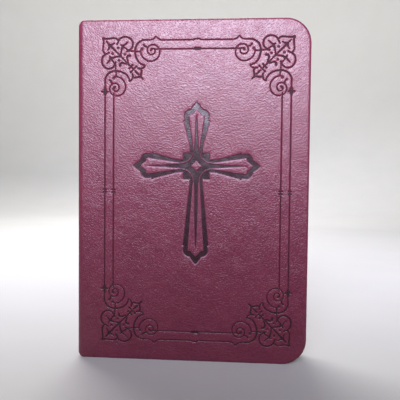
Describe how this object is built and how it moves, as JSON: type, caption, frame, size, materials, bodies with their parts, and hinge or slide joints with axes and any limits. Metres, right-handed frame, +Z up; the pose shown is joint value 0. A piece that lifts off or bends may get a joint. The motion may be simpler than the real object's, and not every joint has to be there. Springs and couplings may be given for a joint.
{
  "type": "prayer book",
  "caption": "Pocket prayer book in a limp burgundy leather case with a pressed cross and scroll border, rounded fore-edge corners, hinged covers and fanning sewn sections.",
  "frame": {"origin": "middle of the foot of the closed book, on the plane that the tail edges stand on", "axes": "+Z up, from tail to head; -Y out of the front cover; +X from the spine to the fore edge"},
  "size_m": [0.108, 0.018, 0.159],
  "materials": {
    "leather": "satin",
    "board": "matte",
    "endpaper": "matte",
    "kraft_paper": "matte",
    "mull_cloth": "matte",
    "band_cloth": "matte",
    "thread": "matte",
    "leaves": "matte"
  },
  "bodies": {
    "spine": {"spine_leather": "leather", "spine_inlay": "board", "spine_lining": "kraft_paper", "mull": "mull_cloth", "head_band": "band_cloth", "tail_band": "band_cloth", "sewing_thread": "thread", "front_joint_leather": "leather", "back_joint_leather": "leather"},
    "front_cover": {"front_cover_leather": "leather", "front_board": "board", "front_pastedown": "endpaper"},
    "back_cover": {"back_cover_leather": "leather", "back_board": "board", "back_pastedown": "endpaper"},
    "front_flyleaf": {"front_flyleaf": "endpaper"},
    "back_flyleaf": {"back_flyleaf": "endpaper"},
    "section_01": {"section_01": "leaves"},
    "section_02": {"section_02": "leaves"},
    "section_03": {"section_03": "leaves"},
    "section_04": {"section_04": "leaves"},
    "section_05": {"section_05": "leaves"},
    "section_06": {"section_06": "leaves"},
    "section_07": {"section_07": "leaves"},
    "section_08": {"section_08": "leaves"},
    "section_09": {"section_09": "leaves"},
    "section_10": {"section_10": "leaves"}
  },
  "joints": [
    {"name": "front_cover_open", "type": "hinge", "parent": "spine", "child": "front_cover", "pos_m": [-0.051, -0.0072, 0.0795], "axis": [0, 0, -1], "range_deg": [0, 178], "deforming": ["front_joint_leather"]},
    {"name": "section_01_turn", "type": "hinge", "parent": "spine", "child": "section_01", "pos_m": [-0.0508, -0.0063, 0.0795], "axis": [0, 0, -1], "range_deg": [0, 45]},
    {"name": "section_02_turn", "type": "hinge", "parent": "section_01", "child": "section_02", "pos_m": [-0.0508, -0.0049, 0.0795], "axis": [0, 0, -1], "range_deg": [-12, 0]},
    {"name": "section_03_turn", "type": "hinge", "parent": "section_02", "child": "section_03", "pos_m": [-0.0508, -0.0035, 0.0795], "axis": [0, 0, -1], "range_deg": [-11, 0]},
    {"name": "section_04_turn", "type": "hinge", "parent": "section_03", "child": "section_04", "pos_m": [-0.0508, -0.0021, 0.0795], "axis": [0, 0, -1], "range_deg": [-10, 0]},
    {"name": "section_05_turn", "type": "hinge", "parent": "section_04", "child": "section_05", "pos_m": [-0.0508, -0.0007, 0.0795], "axis": [0, 0, -1], "range_deg": [-7, 0]},
    {"name": "front_flyleaf_turn", "type": "hinge", "parent": "section_01", "child": "front_flyleaf", "pos_m": [-0.0495, -0.0071, 0.0795], "axis": [0, 0, -1], "range_deg": [0, 75]},
    {"name": "back_cover_open", "type": "hinge", "parent": "spine", "child": "back_cover", "pos_m": [-0.051, 0.0072, 0.0795], "axis": [0, 0, 1], "range_deg": [0, 178], "deforming": ["back_joint_leather"]},
    {"name": "section_10_turn", "type": "hinge", "parent": "spine", "child": "section_10", "pos_m": [-0.0508, 0.0063, 0.0795], "axis": [0, 0, 1], "range_deg": [0, 45]},
    {"name": "section_09_turn", "type": "hinge", "parent": "section_10", "child": "section_09", "pos_m": [-0.0508, 0.0049, 0.0795], "axis": [0, 0, 1], "range_deg": [-12, 0]},
    {"name": "section_08_turn", "type": "hinge", "parent": "section_09", "child": "section_08", "pos_m": [-0.0508, 0.0035, 0.0795], "axis": [0, 0, 1], "range_deg": [-11, 0]},
    {"name": "section_07_turn", "type": "hinge", "parent": "section_08", "child": "section_07", "pos_m": [-0.0508, 0.0021, 0.0795], "axis": [0, 0, 1], "range_deg": [-10, 0]},
    {"name": "section_06_turn", "type": "hinge", "parent": "section_07", "child": "section_06", "pos_m": [-0.0508, 0.0007, 0.0795], "axis": [0, 0, 1], "range_deg": [-7, 0]},
    {"name": "back_flyleaf_turn", "type": "hinge", "parent": "section_10", "child": "back_flyleaf", "pos_m": [-0.0495, 0.0071, 0.0795], "axis": [0, 0, 1], "range_deg": [0, 75]}
  ],
  "couplings": [
    {"joint": "section_01_turn", "follows": "front_cover_open", "ratio": 0.2528},
    {"joint": "section_02_turn", "follows": "front_cover_open", "ratio": -0.0674},
    {"joint": "section_03_turn", "follows": "front_cover_open", "ratio": -0.0617},
    {"joint": "section_04_turn", "follows": "front_cover_open", "ratio": -0.0561},
    {"joint": "section_05_turn", "follows": "front_cover_open", "ratio": -0.0393},
    {"joint": "front_flyleaf_turn", "follows": "front_cover_open", "ratio": 0.4213},
    {"joint": "section_10_turn", "follows": "back_cover_open", "ratio": 0.2528},
    {"joint": "section_09_turn", "follows": "back_cover_open", "ratio": -0.0674},
    {"joint": "section_08_turn", "follows": "back_cover_open", "ratio": -0.0617},
    {"joint": "section_07_turn", "follows": "back_cover_open", "ratio": -0.0561},
    {"joint": "section_06_turn", "follows": "back_cover_open", "ratio": -0.0393},
    {"joint": "back_flyleaf_turn", "follows": "back_cover_open", "ratio": 0.4213}
  ]
}
